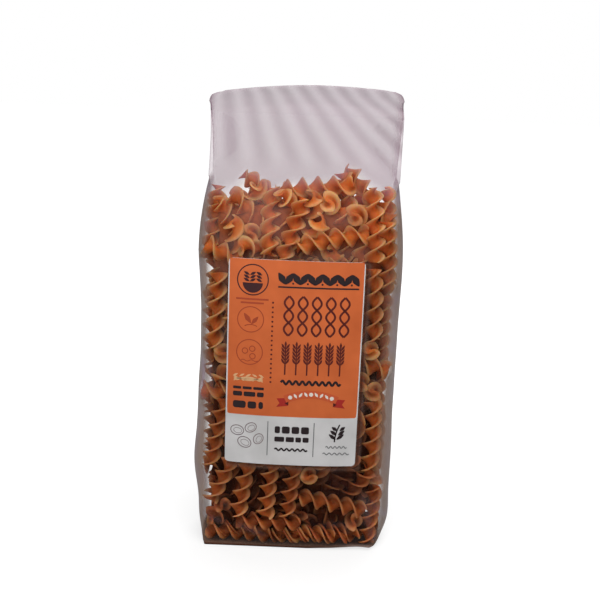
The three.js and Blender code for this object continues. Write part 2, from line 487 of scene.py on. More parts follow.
def sectionOutline(bm):
    # an S: each blade is an arc from the axis out to its round tip
    radius, thick = twist["radius"], twist["thickness"]
    arc = math.radians(twist["bladeArc"])
    bladeCentre = Vector((radius / 2, -radius / 2 / math.tan(arc / 2), 0))
    vert = bm.verts.new(-bladeCentre.normalized() * thick / 2)

    def run(vert, centre, angle, steps):
        made = bmesh.ops.spin(
            bm, geom=[vert], cent=centre, axis=(0, 0, 1), dvec=(0, 0, 0), angle=angle, steps=steps,
            use_merge=False, use_duplicate=False,
        )
        return made["geom_last"][0]

    tips = [Vector((radius, 0, 0)), Vector((-radius, 0, 0))]
    for tip, centre in zip(tips, (bladeCentre, -bladeCentre)):
        vert = run(vert, centre, -arc, twist["bladeSteps"])
        vert = run(vert, tip, -math.pi, twist["tipSteps"])
        vert = run(vert, centre, arc, twist["bladeSteps"])
    bmesh.ops.remove_doubles(bm, verts=bm.verts, dist=mergeWithin)
    edge = bm.verts.layers.float.new("edge")
    deep = bm.verts.layers.float.new("deep")
    for v in bm.verts:
        nearest = min((v.co - tip).length for tip in tips)
        v[edge] = max(0.0, 1 - max(0.0, nearest - thick * 0.5) / twist["edgeWidth"])
        v[deep] = max(0.0, 1 - v.co.length / radius)


def twistMesh(kind):
    bm = bmesh.new()
    sectionOutline(bm)
    turns = kind["length"] / kind["pitch"]
    steps = round(turns * twist["turnSteps"])
    bmesh.ops.spin(
        bm, geom=bm.edges[:], cent=(0, 0, 0), axis=(0, 0, 1), dvec=(0, 0, kind["length"] / steps),
        angle=turns * math.tau, steps=steps, use_merge=False, use_duplicate=False,
    )
    ends = [e for e in bm.edges if e.is_boundary]
    bmesh.ops.holes_fill(bm, edges=ends, sides=0)
    bmesh.ops.translate(bm, verts=bm.verts, vec=(0, 0, -kind["length"] / 2))
    bmesh.ops.scale(bm, verts=bm.verts, vec=(kind["size"], kind["size"], 1))
    for v in bm.verts:
        along = v.co.z / kind["length"] * 2
        v.co.x += kind["bend"] * (along * along - twist["bowShift"])
        swell = 1 + twist["swell"] * math.sin(twist["swellWaves"] * along + kind["bend"] * 2)
        v.co.x *= swell
        v.co.y *= swell
    bmesh.ops.recalc_face_normals(bm, faces=bm.faces)
    bmesh.ops.scale(bm, verts=bm.verts, vec=(mm, mm, mm))
    mesh = bpy.data.meshes.new("twist")
    bm.to_mesh(mesh)
    bm.free()
    return mesh


# dry pasta: each colour is given for the darkest twists and the palest
pastaLooks = {
    "toneShare": 0.78,
    "patchShare": 0.3,
    "patches": {"scale": 160, "detail": 3, "from": (0.3, 0.7)},
    "body": ((0.16, 0.007, 0.001), (0.95, 0.31, 0.07)),
    "hollowShade": ((0.05, 0.003, 0.001), (0.74, 0.175, 0.034)),
    "hollowFrom": (0.06, 0.42),  # share of the way from the tip in to the axis
    "hollowShare": 0.85,
    "edge": ((0.42, 0.07, 0.018), (0.94, 0.52, 0.24)),
    "edgeShare": 0.72,
    "inShade": (0.03, 0.005, 0.002),
    "grain": {"scale": 1100, "height": 0.12, "strength": 0.6},
}


def pastaMaterial():
    material, tree, shader = newMaterial("dryLentilPasta")
    looks = pastaLooks
    tone = mathOn(tree, "MULTIPLY", attribute(tree, "tone"), looks["toneShare"])
    patch = mathOn(tree, "MULTIPLY", patchesOn(tree, looks["patches"]), looks["patchShare"])
    share = mathOn(tree, "ADD", tone, patch)
    body = blended(tree, share, *looks["body"])
    # painted shade in the hollows near the axis, which are darker and redder
    hollowShade = ranged(tree, attribute(tree, "deep"), *looks["hollowFrom"], 0, 1)
    hollowShade = mathOn(tree, "MULTIPLY", hollowShade, looks["hollowShare"])
    body = blended(tree, hollowShade, body, blended(tree, share, *looks["hollowShade"]))
    # the pale edge: partly the thin blade's own floury colour, partly painted light glowing through the
    # thin blade
    edge = mathOn(tree, "MULTIPLY", attribute(tree, "edge"), looks["edgeShare"])
    colour = blended(tree, edge, body, blended(tree, share, *looks["edge"]))
    # what lies deep in the heap is in the shade of the rest
    colour = blended(tree, attribute(tree, "lit"), looks["inShade"], colour)
    tree.links.new(colour, shader.inputs["Base Color"])
    shader.inputs["Subsurface Weight"].default_value = 0.5
    shader.inputs["Subsurface Radius"].default_value = (1.0, 0.3, 0.08)
    shader.inputs["Subsurface Scale"].default_value = 4 * mm
    shader.inputs["Roughness"].default_value = 0.6
    shader.inputs["Specular IOR Level"].default_value = 0.14
    grain = looks["grain"]
    bumpFrom(tree, shader, noiseOn(tree, grain["scale"], 3), grain["height"] * mm, grain["strength"])
    return material


def nearestWall(places):
    x, y, z = np.transpose(places)
    toPanels = np.minimum(wallAt("front", x, z) + y, wallAt("back", x, z) - y)
    toSides = np.minimum(wallAt("left", y, z) + x, wallAt("right", y, z) - x)
    return np.minimum(toPanels, toSides)


def litAt(places):
    # 1 near the film and on top of the heap, less deep inside it and at its foot
    near, far = heap["litDepth"]
    lit = 1 - np.clip((nearestWall(places) - near) / (far - near), 0, 1)
    low, high = heap["litTop"]
    lit = np.maximum(lit, np.clip((places[:, 2] - low) / (high - low), 0, 1))
    foot = heap["footShade"]
    low = 1 - smoothStep(places[:, 2], *foot["z"])
    lit *= 1 - foot["most"] * low * np.exp(-((places[:, 0] - foot["x"]) / foot["spread"]) ** 2)
    return heap["darkest"] + (1 - heap["darkest"]) * lit


def addTwists(pieceName, kind, axes, lengths, tones, rng, material):
    mesh = twistMesh(kind)
    bm = bmesh.new()
    for name in ("edge", "deep", "lit"):
        bm.verts.layers.float.new(name)
    tone = bm.verts.layers.float.new("tone")
    for (start, end), full, shade in zip(axes * mm, lengths, tones):
        axis = Vector(end - start)
        wide = np.interp((start + end)[2] / 2 / mm, twist["wideAt"], twist["wide"])
        place = (
            Matrix.Translation((start + end) / 2)
            @ axis.to_track_quat("Z", "Y").to_matrix().to_4x4()
            @ Matrix.Rotation(rng.uniform(0, math.tau), 4, "Z")
            @ Matrix.Diagonal((wide, wide, full / kind["length"], 1))
        )
        before = len(bm.verts)
        bm.from_mesh(mesh)
        bm.verts.ensure_lookup_table()
        new = bm.verts[before:]
        bmesh.ops.transform(bm, matrix=place, verts=new)
        for v in new:
            v[tone] = shade
    bpy.data.meshes.remove(mesh)
    lit = bm.verts.layers.float["lit"]
    places = np.array([v.co for v in bm.verts]) / mm
    for v, value in zip(bm.verts, litAt(places)):
        v[lit] = value
    piece = newPiece(pieceName, bm, [material])
    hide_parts("bag")


def addPasta():
    rng = np.random.default_rng(heap["seed"] + 1)
    kinds = twist["kinds"]
    material = pastaMaterial()
    middles = twistEnds.mean(1)
    share = heap["lowShadeShare"]
    byHeight = np.minimum(middles[:, 2] / heap["lowShadeUpTo"], 1)
    # painted shade: lower twists get darker tones, on top of their random ones
    tones = (1 - share) * rng.uniform(0, 1, len(middles)) + share * byHeight
    order = rng.permutation(len(middles))
    for number, kind in enumerate(kinds):
        mine = order[number :: len(kinds)]
        name = "pasta_%d" % (number + 1)
        addTwists(name, kind, twistEnds[mine], twistLengths[mine], tones[mine], rng, material)
    spec = heap["bits"]
    lengths = rng.uniform(0.9, 1.1, len(bitEnds)) * spec["length"]
    tones = rng.uniform(*spec["tones"], len(bitEnds))
    addTwists("pasta_bits", spec, bitEnds, lengths, tones, rng, material)


addPasta()


# the middle of the heap, behind two layers of twists
core = {
    "half": (44.0, 10.0, 92.0),  # mm
    "middle": (0.0, 1.0, 96.0),
    "lump": 3.0,
    "lumpSize": 9.0,
    "cuts": 26,
    "roundings": 12,
    # its colours in dark and pale patches, low down and on top, and the heights in metres in between:
    # painted shade low in the heap, painted light on top
    "low": ((0.025, 0.004, 0.001), (0.08, 0.014, 0.004)),
    "top": ((0.3, 0.06, 0.014), (0.5, 0.12, 0.03)),
    "topFrom": (0.1, 0.18),
    "patches": {"scale": 220, "detail": 2, "from": (0.35, 0.65)},
}


def coreMaterial():
    material, tree, shader = newMaterial("pastaInTheShade")
    patch = patchesOn(tree, core["patches"])
    coords = addNode(tree, "ShaderNodeTexCoord")
    split = addNode(tree, "ShaderNodeSeparateXYZ")
    tree.links.new(coords.outputs["Object"], split.inputs[0])
    high = ranged(tree, split.outputs["Z"], *core["topFrom"], 0, 1)
    low, top = blended(tree, patch, *core["low"]), blended(tree, patch, *core["top"])
    # painted shade: dark low in the heap, lighter on top where the light comes in
    colour = blended(tree, high, low, top)
    tree.links.new(colour, shader.inputs["Base Color"])
    shader.inputs["Roughness"].default_value = 0.7
    shader.inputs["Specular IOR Level"].default_value = 0.05
    return material


def addCore():
    bm = bmesh.new()
    bmesh.ops.create_cube(bm, size=2)
    bmesh.ops.scale(bm, verts=bm.verts, vec=core["half"])
    bmesh.ops.subdivide_edges(bm, edges=bm.edges, cuts=core["cuts"], use_grid_fill=True)
    for _ in range(core["roundings"]):
        bmesh.ops.smooth_vert(
            bm, verts=bm.verts, factor=0.5, use_axis_x=True, use_axis_y=True, use_axis_z=True
        )
    bm.normal_update()
    for v in bm.verts:
        v.co += v.normal * core["lump"] * noise.noise(v.co / core["lumpSize"])
    bmesh.ops.translate(bm, verts=bm.verts, vec=core["middle"])
    bmesh.ops.scale(bm, verts=bm.verts, vec=(mm, mm, mm))
    piece = newPiece("pasta_middle", bm, [coreMaterial()])
    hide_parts("bag")


addCore()


# the film over the heap
film = {
    "smoothPasses": 8,
    "radius": 5.75,  # mm, of a twist where it presses the film out
    "skin": 0.25,  # left between the two
    "sag": 0.7,  # most that the film falls in between twists
    "mostPush": 4.0,
    "passes": 60,
    "farOff": 40.0,  # mm, taken as the distance where no twist is near
    "lookAround": 16.0,
    "footHeld": 3.0,  # below this height, and over the next two, the film is pressed out less and less
    "topHeld": (226.0, 236.0),
    "facing": (0.4, 0.8),  # from here a face counts as one of a panel, and not of a side
    "bareEdge": (-3.0, 0.5),  # mm past the outline of the pasta behind, where the film turns grey
    "bareTopBehind": (-9.0, -4.0),  # mm past the heap's top, for the back panel, seen over the heap
    "bareSides": (-4.0, -0.5),  # mm past the heap's reach, for the sides
    "sideHaze": 0.42,
    # over the heap the film is a little hazy too, where mm of air lie behind it: its share of the haze
    # at the bottom of the heap and on top, and the heights in between; its rise to the top is painted light
    "hazyGap": (1.0, 4.0),
    "overPasta": (0.02, 0.26),
    "overPastaZ": (40, 190),
    "hazePasses": 3,  # that even it out
    "brownGap": 12.0,  # mm to the pasta, up to which the film takes on its colour: the pasta's light and shade painted into the haze
    # over these heights it loses that colour again, from so many mm inside the outline of the pasta on
    "brownEndZ": (186, 198),
    "brownEndPast": (-3, 0),
    "bottomFold": (0.4, 2.8),  # heights of the crumpled edge at the bottom
    "foldHeight": 5.0,  # below it the film is folded and doesn't gleam
    "faceDown": -0.7,  # z of a normal, under which a face belongs to the underside
    "clearFoot": (14, 40),  # heights below which the leaning front stays clear
    "offFloor": 0.15,
    "sealFoot": 243.0,  # height at which the seal begins
    "tuckZ": (198, 206),  # heights between which the side folds are tucked in
    "tuckX": 30.0,  # and how far from the middle they reach in
    "tuckClear": 0.95,  # share of the haze that they lose
    "justOff": 0.2,  # mm, from the film to where a ray starts
    "denseX": (46.5, 49),  # the panels' edges, which are denser up there
    "denser": 0.5,
    # creases in the front, from x and z to x and z, with their width and how white they are, as a painted
    # highlight
    "creases": (
        (-28, 14.3, -14.7, 8.8, 1.1, 0.5), (-47.5, 17.2, -37.5, 15.2, 1.0, 0.45),
        (-47, 43, -44, 28, 1.2, 0.25), (-50, 106, -47.5, 86, 1.3, 0.55),
        (-45, 105, -43.5, 88, 1.0, 0.4), (40, 34, 47, 6, 1.4, 0.4),
        (44, 30, 54, 18, 1.2, 0.35), (-46, 243.4, -20, 244.2, 0.8, 0.1),
        (20, 16.5, 44, 17.5, 1.0, 0.25),
    ),
    "creaseDepth": 0.5,
    "topLine": ((-48.6, 245), (8, 250.5), (49, 248.5)),  # x and z along the top of the seal
    "topCorner": 3.2,
    "cornerX": (40, 48),
    # the shade that the label casts below it and on its right, in mm from its edge
    "besideLabel": {"width": 1.3, "off": 0.6, "reach": 3.0, "start": 1.0},
    # slanted ripples over the empty top: their spacing along the seal, how their lines lean and spread
    # below it, and the share of them on the right side and on the back
    "ripple": {
        "spacing": 10.2,
        "start": -30.0,
        "lean": 0.78,
        "spread": 0.017,
        "aboveSeal": 2.0,
        "height": 0.25,
        "from": (204, 216),
        "onRight": 0.8,
        "rightX": (43, 49),
        "rightZ": (70, 110),
        "onBack": 0.35,
    },
}


def distanceToTwists(points, seenAlong=None):
    # seenAlong drops one axis, for the distance as it shows when looking along that axis
    keep = [i for i in range(3) if i != seenAlong]
    best = np.full(len(points), film["farOff"])
    for ends, full in zip(pastaEnds, pastaLengths):
        middle, span = ends.mean(0)[keep], (ends[1] - ends[0])[keep]
        share = np.linalg.norm(span) / np.linalg.norm(ends[1] - ends[0])
        reach = np.abs(span) / 2 + film["lookAround"]
        near = np.flatnonzero((np.abs(points[:, keep] - middle) < reach).all(1))
        fromMiddle = points[near][:, keep] - middle
        along = fromMiddle @ (span / max(np.linalg.norm(span), 1e-6))
        beside = np.sqrt(np.maximum((fromMiddle**2).sum(1) - along**2, 0)) - film["radius"]
        past = np.abs(along) - full / 2 * share
        if seenAlong is not None:
            past -= film["radius"] * math.sqrt(max(1 - share**2, 0))
        outside = np.hypot(np.maximum(beside, 0), np.maximum(past, 0))
        best[near] = np.minimum(best[near], outside + np.minimum(np.maximum(beside, past), 0))
    return best


def creasesAt(x, z):
    total = np.zeros(len(x))
    for x0, z0, x1, z1, width, white in film["creases"]:
        run = math.hypot(x1 - x0, z1 - z0)
        along = ((x - x0) * (x1 - x0) + (z - z0) * (z1 - z0)) / run
        beside = ((x - x0) * (z1 - z0) - (z - z0) * (x1 - x0)) / run
        past = np.maximum(np.maximum(-along, along - run), 0)
        total = np.maximum(total, white * np.exp(-(beside**2 + past**2) / width**2))
    return total


def rippleAt(x, z):
    # from -1 in a dark band to 1 in a light one
    spec = film["ripple"]
    down = film["sealFoot"] + spec["aboveSeal"] - z
    atSeal = (x - spec["lean"] * down) / (1 + spec["spread"] * np.maximum(down, 0))
    return -np.cos(math.tau * (atSeal - spec["start"]) / spec["spacing"])


def addFilm():
    bm = bagForm
    bmesh.ops.subdivide_edges(bm, edges=bm.edges, cuts=form["cuts"], use_grid_fill=True)
    smoothBody(bm, film["smoothPasses"])
    bm.normal_update()
    bm.verts.index_update()
    places = np.array([v.co for v in bm.verts]) / mm
    normals = np.array([v.normal for v in bm.verts])
    pairs = np.array([(e.verts[0].index, e.verts[1].index) for e in bm.edges])
    degree = np.bincount(pairs.ravel(), minlength=len(places)).astype(float)

    def around(values):
        total = np.bincount(pairs[:, 0], values[pairs[:, 1]], len(places))
        total += np.bincount(pairs[:, 1], values[pairs[:, 0]], len(places))
        return total / degree

    x, y, z = places.T.copy()
    # the paper, the seal and the folded bottom keep the film where it is
    low, high = film["topHeld"]
    held = np.where(y < 0, 1 - behindLabel(x, z), 1)
    held *= np.clip(z / film["footHeld"], 0, 1) * np.clip((high - z) / (high - low), 0, 1)
    wanted = film["skin"] - distanceToTwists(places)
    further = places + normals * np.maximum(wanted, 0)[:, None]
    wanted += np.maximum(film["skin"] - distanceToTwists(further), 0)
    pushed = np.clip(wanted, -film["sag"], film["mostPush"]) * held
    out = pushed.copy()
    for _ in range(film["passes"]):
        out = np.maximum(pushed, 0.5 * out + 0.5 * around(out)) * np.where(held > 0, 1, 0)
    places += normals * out[:, None]
    spec = film["ripple"]
    empty = smoothStep(z, *spec["from"])
    onRight = spec["onRight"] * smoothStep(x, *spec["rightX"]) * smoothStep(z, *spec["rightZ"])
    empty = np.maximum(empty, onRight)
    ripple = rippleAt(x, z) * empty * np.where(y < 0, 1, spec["onBack"])
    places[:, 1] += ripple * spec["height"] * np.sign(y)
    crease = creasesAt(x, z) * (y < 0)
    places[:, 1] -= film["creaseDepth"] * crease
    # the seal's corners are rounded
    corner = film["topCorner"]
    under = lineAt(film["topLine"], x) - z
    cut = corner - np.sqrt(corner**2 - np.clip(corner - under, 0, corner) ** 2)
    places[:, 0] -= np.sign(x) * cut * smoothStep(np.abs(x), *film["cornerX"])
    places[:, 2] = np.maximum(places[:, 2], film["offFloor"])

    # the film shows grey where no pasta is straight behind it, and clear over the heap
    outward = normals[:, 1] * np.sign(y)  # 1 on the panels, near 0 on the sides, less on the tucked folds
    onPanel = smoothStep(outward, *film["facing"])
    distance = distanceToTwists(places)
    past = distanceToTwists(places, seenAlong=1)
    pastRight, pastLeft = x - lineAt(heap["rightReach"], z), -x - lineAt(heap["leftReach"], z)
    veil = smoothStep(np.where(x > 0, pastRight, pastLeft), *film["bareSides"])
    fromFront = smoothStep(past, *film["bareEdge"])
    overHeap = smoothStep(z - lineAt(heap["contour"], x), *film["bareTopBehind"])
    fromFront = np.where(y > 0, np.maximum(fromFront, overHeap), fromFront)
    fromSide = smoothStep(distanceToTwists(places, seenAlong=0), *film["bareEdge"])
    # painted light: the haze over the pasta rises towards the top of the heap
    low, high = film["overPasta"]
    overPasta = low + (high - low) * smoothStep(z, *film["overPastaZ"])
    apart = smoothStep(distance, *film["hazyGap"]) * overPasta
    haze = fromFront * onPanel + fromSide * (1 - onPanel)
    haze = np.maximum(haze, np.maximum(apart, film["sideHaze"] * veil))
    # painted highlight along the creases
    haze = np.maximum(haze, crease)
    # along the panels' edges above the heap only one of the two panels is seen, so it is made denser
    haze *= 1 + film["denser"] * smoothStep(np.abs(x), *film["denseX"]) * smoothStep(z, *film["tuckZ"])
    for _ in range(film["hazePasses"]):
        haze = around(haze)
    crumpled = 1 - smoothStep(z, *film["bottomFold"])
    haze = np.maximum(haze, crumpled)
    # the tucked side folds lie against the panels, so they hardly show
    tucked = smoothStep(z, *film["tuckZ"])
    for i in np.flatnonzero((tucked > 0) & (np.abs(x) > film["tuckX"])):
        toPanel = Vector((0, -1 if y[i] < 0 else 1, 0))
        start = Vector((x[i], y[i], z[i])) * mm + toPanel * film["justOff"] * mm
        tucked[i] *= bagTree.ray_cast(start, toPanel)[0] is not None
    tucked[np.abs(x) <= film["tuckX"]] = 0
    haze *= 1 - film["tuckClear"] * tucked
    # painted pasta colour on the film close to the pasta and on the crumpled foot
    brown = np.maximum(1 - smoothStep(distance, 0, film["brownGap"]), crumpled)
    brown *= 1 - np.minimum(crease * 2, 1)
    brown *= 1 - smoothStep(z, *film["brownEndZ"]) * smoothStep(past, *film["brownEndPast"])
    brown *= 1 - overHeap * (y > 0)
    spec = film["besideLabel"]
    outX, outZ = x - heap["labelX"][1], heap["labelZ"][0] - z
    inX = (x > heap["labelX"][0] + spec["start"]) & (outX < spec["reach"])
    inZ = (z < heap["labelZ"][1] - spec["start"]) & (outZ < spec["reach"])
    fromEdge = (np.maximum(outX, outZ) - spec["off"]) / spec["width"]
    shade = np.exp(-(fromEdge**2)) * inX * inZ * (y < 0)
    # the crumpled fold at the bottom is painted in shade too
    shade = np.maximum(shade, crumpled)
    # the front leans over its foot, but stays as clear there
    slanted = (1 - tucked) * (1 - onPanel * (1 - smoothStep(z, *film["clearFoot"])))
    fields = {"haze": haze, "ripple": ripple, "brown": brown, "slanted": slanted, "shade": shade}
    for name, values in fields.items():
        layer = bm.verts.layers.float.new(name)
        for v, value in zip(bm.verts, values):
            v[layer] = value
    for v, place in zip(bm.verts, places * mm):
        v.co = place
    bm.normal_update()
    for face in bm.faces:
        isLow = face.calc_center_median().z < film["foldHeight"] * mm
        face.material_index = int(isLow or face.normal.z < film["faceDown"])
    materials = [filmMaterial("clearFilm", filmLooks["gloss"]), filmMaterial("bottomFilm", 0)]
    piece = newPiece("film", bm, materials)
    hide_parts("bag")


# how the film looks, from what addFilm found at each place
filmLooks = {
    "gloss": 0.22,
    "dense": (0.42, 0.86),  # how much haze hides, away from the pasta and close to it
    "least": 0.01,
    "rippleShare": 0.09,
    "slantFrom": (0.16, 0.5),
    "slantMost": 0.66,
    "throughShade": 0.3,
    "patches": {"scale": 22, "detail": 2, "from": (0.35, 0.65)},
    "tints": ((0.39, 0.26, 0.332), (0.37, 0.27, 0.313)),
    "rippleShade": (0.16, 0.12, 0.14),
    "darkBandShare": 0.3,
    # painted pasta colour, for the film close to the pasta
    "nearPasta": (0.33, 0.2, 0.14),
    "inShade": (0.07, 0.014, 0.004),
}


def filmMaterial(name, gloss):
    material, tree, shader = newMaterial(name)
    looks = filmLooks
    ripple, brown, shade = (attribute(tree, field) for field in ("ripple", "brown", "shade"))
    haze = mathOn(tree, "MULTIPLY", attribute(tree, "haze"), ranged(tree, brown, 0, 1, *looks["dense"]))
    haze = mathOn(tree, "ADD", haze, looks["least"])
    haze = mathOn(tree, "SUBTRACT", haze, mathOn(tree, "MULTIPLY", ripple, looks["rippleShare"]))
    # seen edge on, the way through the film is longer
    slant = addNode(tree, "ShaderNodeLayerWeight", Blend=0.5).outputs["Facing"]
    slant = ranged(tree, slant, *looks["slantFrom"], 0, looks["slantMost"])
    slant = mathOn(tree, "MULTIPLY", slant, attribute(tree, "slanted"))
    clear = mathOn(tree, "MULTIPLY", mathOn(tree, "SUBTRACT", 1, haze), mathOn(tree, "SUBTRACT", 1, slant))
    clear = mathOn(tree, "MULTIPLY", clear, ranged(tree, shade, 0, 1, 1, looks["throughShade"]))
    tree.links.new(mathOn(tree, "SUBTRACT", 1, clear), shader.inputs["Alpha"])
    tint = blended(tree, patchesOn(tree, looks["patches"]), *looks["tints"])
    # painted shade in the ripples' dark bands
    grey = blended(tree, ranged(tree, ripple, -1, 1, looks["darkBandShare"], 0), tint, looks["rippleShade"])
    colour = blended(tree, brown, grey, looks["nearPasta"])
    tree.links.new(blended(tree, shade, colour, looks["inShade"]), shader.inputs["Base Color"])
    shader.inputs["Roughness"].default_value = 0.3
    shader.inputs["Specular IOR Level"].default_value = gloss
    return material


addFilm()


# the label: a sheet of paper that follows the front, with its print laid on it
paper = {
    "left": -36.0,
    "right": 34.0,
    "bottom": 52.0,
    "top": 164.0,
    "corner": 2.0,
    "thickness": 0.25,
    "cellX": 2.0,
    "cellZ": 4.0,
    "margin": 0.5,  # white left and right of the orange
    "stripTop": 79.7,  # the white strip along the bottom ends here
    "fieldTop": 163.95,  # and the orange here
    "fieldCorner": 0.9,
    "inkLift": 0.04,
    "white": ((0.71, 0.695, 0.695), (0.58, 0.57, 0.565)),
    "patches": {"scale": 55, "detail": 3, "from": (0.3, 0.7)},
    "wrinkles": {"scale": 42, "share": 14},
    "fibres": {"scale": 700, "height": 0.05, "strength": 0.5},
}

labelTree = BVHTree.FromPolygons(
    [v.co.copy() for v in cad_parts["label"].data.vertices],
    [tuple(f.vertices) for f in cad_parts["label"].data.polygons],
)


def paperFace(x, z):
    # y of the label's face in mm. Near its edge the ray is moved in, so that it always meets the solid.
    x = min(max(x, paper["left"] + 1), paper["right"] - 1)
    z = min(max(z, paper["bottom"] + 1), paper["top"] - 1)
    hit = labelTree.ray_cast(Vector((x, -200, z)) * mm, Vector((0, 1, 0)))
    return hit[0].y / mm


def flatShape(points):
    bm = bmesh.new()
    bm.faces.new([bm.verts.new((x, 0, z)) for x, z in points])
    return bm


def bar(left, bottom, right, top, corner):
    bm = flatShape(((left, bottom), (right, bottom), (right, top), (left, top)))
    bmesh.ops.bevel(
        bm, geom=bm.verts[:], offset=corner, offset_type="OFFSET", affect="VERTICES", segments=4,
        profile=0.5, material=-1,
    )
    return bm


def turned(bm, degrees, axis):
    turn = Matrix.Rotation(math.radians(degrees), 3, axis)
    bmesh.ops.rotate(bm, verts=bm.verts, cent=(0, 0, 0), matrix=turn)


def disc(x, z, radius, steps=20):
    bm = bmesh.new()
    bmesh.ops.create_circle(bm, cap_ends=True, segments=steps, radius=radius)
    turned(bm, 90, "X")
    bmesh.ops.translate(bm, verts=bm.verts, vec=(x, 0, z))
    return bm


def ring(x, z, radius, width, steps=48, flat=1.0, lean=0.0):
    bm = bmesh.new()
    for r in (radius, radius - width):
        made = bmesh.ops.create_circle(bm, cap_ends=False, segments=steps, radius=r)
        bmesh.ops.scale(bm, verts=made["verts"], vec=(1, (r * flat - (radius - r) * (1 - flat)) / r, 1))
    bmesh.ops.bridge_loops(bm, edges=bm.edges)
    turned(bm, 90, "X")
    turned(bm, lean, "Y")
    bmesh.ops.translate(bm, verts=bm.verts, vec=(x, 0, z))
    return bm


def band(path, width, steps=24):
    # a strip of even width along path(t), with t from 0 to 1
    bm = bmesh.new()
    bmesh.ops.create_grid(bm, x_segments=steps, y_segments=1, size=0.5)
    for v in bm.verts:
        t, side = v.co.x + 0.5, v.co.y * 2
        x, z = path(t)
        ahead, behind = path(t + 0.01), path(t - 0.01)
        along = Vector((ahead[0] - behind[0], ahead[1] - behind[1])).normalized()
        v.co = (x - along.y * side * width / 2, 0, z + along.x * side * width / 2)
    return bm


def cutAlong(bm, place, normal, clearAbove=False):
    everything = bm.verts[:] + bm.edges[:] + bm.faces[:]
    bmesh.ops.bisect_plane(
        bm, geom=everything, dist=0.001, plane_co=place, plane_no=normal, clear_outer=clearAbove
    )


def onPaper(name, shapes, lift, material):
    # joins flat shapes, cuts them in the paper's cells, lays them on its face and makes them a thin slab
    bm = bmesh.new()
    for shape in shapes:
        scratch = bpy.data.meshes.new("scratch")
        shape.to_mesh(scratch)
        shape.free()
        bm.from_mesh(scratch)
        bpy.data.meshes.remove(scratch)
    cuts = [((x, 0, 0), (1, 0, 0)) for x in np.arange(paper["left"], paper["right"], paper["cellX"])]
    cuts += [((0, 0, z), (0, 0, 1)) for z in np.arange(paper["bottom"], paper["top"], paper["cellZ"])]
    for place, normal in cuts:
        cutAlong(bm, place, normal)
    bm.normal_update()
    bmesh.ops.reverse_faces(bm, faces=[f for f in bm.faces if f.normal.y > 0])
    for v in bm.verts:
        v.co.y = paperFace(v.co.x, v.co.z) - lift
    back = bmesh.ops.extrude_face_region(bm, geom=bm.faces[:], use_keep_orig=True)
    backVerts = [v for v in back["geom"] if isinstance(v, bmesh.types.BMVert)]
    depth = paper["thickness"] if lift == 0 else paper["inkLift"] * 1.5
    bmesh.ops.translate(bm, verts=backVerts, vec=(0, depth, 0))
    bmesh.ops.recalc_face_normals(bm, faces=bm.faces)
    bmesh.ops.scale(bm, verts=bm.verts, vec=(mm, mm, mm))
    return newPiece(name, bm, [material])


def paperMaterial(name, colour, shade):
    material, tree, shader = newMaterial(name)
    patch = patchesOn(tree, paper["patches"])
    tree.links.new(blended(tree, patch, shade, colour), shader.inputs["Base Color"])
    shader.inputs["Roughness"].default_value = 0.6
    shader.inputs["Specular IOR Level"].default_value = 0.3
    wrinkles, fibres = paper["wrinkles"], paper["fibres"]
    height = mathOn(tree, "MULTIPLY", noiseOn(tree, wrinkles["scale"], 2, (1, 1, 0.6)), wrinkles["share"])
    height = mathOn(tree, "ADD", noiseOn(tree, fibres["scale"], 2), height)
    bumpFrom(tree, shader, height, fibres["height"] * mm, fibres["strength"])
    return material


def leafShape(x, z, length, width, lean):
    bm = disc(0, 0, length / 2)
    for v in bm.verts:
        v.co.x *= width / length * (1 - abs(v.co.z) / length)
    turned(bm, lean, "Y")
    bmesh.ops.translate(bm, verts=bm.verts, vec=(x, 0, z))
    return bm


def arch(x0, x1, ends, rise):
    return lambda t: (x0 + (x1 - x0) * t, ends + rise * (1 - (2 * t - 1) ** 2))


def wave(x0, x1, z, height, waves, phase=0.0):
    return lambda t: (x0 + (x1 - x0) * t, z + height * math.sin(math.tau * (waves * t + phase)))


def strand(x, bottom, top, width, turns, phase):
    return lambda t: (x + width / 2 * math.sin(math.tau * (turns * t + phase)), bottom + (top - bottom) * t)


# what is printed on the label, in mm as x and z
prints = {
    "headingX": (-10.4, 31.2),
    "headingZ": 154.6,
    "headingLeaves": 11,
    "underlineZ": 150.2,
    "twistRow": {"x": (-4.4, 24.4), "z": (124.6, 145.6), "count": 5},
    "earRow": {"x": (-5.4, 23.2), "z": (103.2, 121.2), "count": 6},
    "scribble": {"x": (-7.2, 24.0), "z": 99.0},
    "dots": {"x": -12.7, "z": (98.9, 141.8), "count": 18},
    "emblem": {"x": -23.4, "z": 153.2, "radius": 8.2},
    "badges": ((-24.0, 132.3), (-24.1, 114.7)),
    "badgeRadius": 7.0,
    "sheaf": {"x": (-32.0, -16.8), "z": 100.4},
    "ribbon": {"x": (-4.8, 22.6), "z": 89.6, "rise": 3.2, "width": 4.4},
    "dividers": (-13.3, 11.2),
    # each one's x, z, radius and lean
    "lentils": (
        (-29.6, 70.6, 3.7, 10), (-22.4, 72.6, 3.4, -35), (-25.6, 64.0, 3.9, 25), (-18.2, 66.4, 3.3, -60),
    ),
    "sprig": {"x": 23.6, "z": (66.0, 76.0)},
    # rows of plain blocks: their middle height, how high they are, and from where to where each one runs
    "blocks": (
        (94.8, 1.5, ((-32.3, -28.0), (-27.2, -22.4), (-21.6, -16.0))),
        (91.4, 2.6, ((-32.3, -27.4), (-26.6, -20.4), (-19.6, -16.0))),
        (85.4, 4.0, ((-32.2, -25.4), (-24.4, -19.8), (-18.6, -16.2))),
    ),
    # the same in the strip, with bottom, top and corner
    "stripBlocks": (
        (70.2, 74.2, 0.9, ((-9.6, -6.8), (-5.8, -1.6), (-0.6, 3.4), (4.4, 8.6))),
        (65.4, 68.2, 0.6, ((-9.6, -4.4), (-3.6, 0.8), (1.6, 4.6), (5.4, 8.6))),
    ),
}


def evenly(first, last, count):
    return [first + (last - first) * i / (count - 1) for i in range(count)]


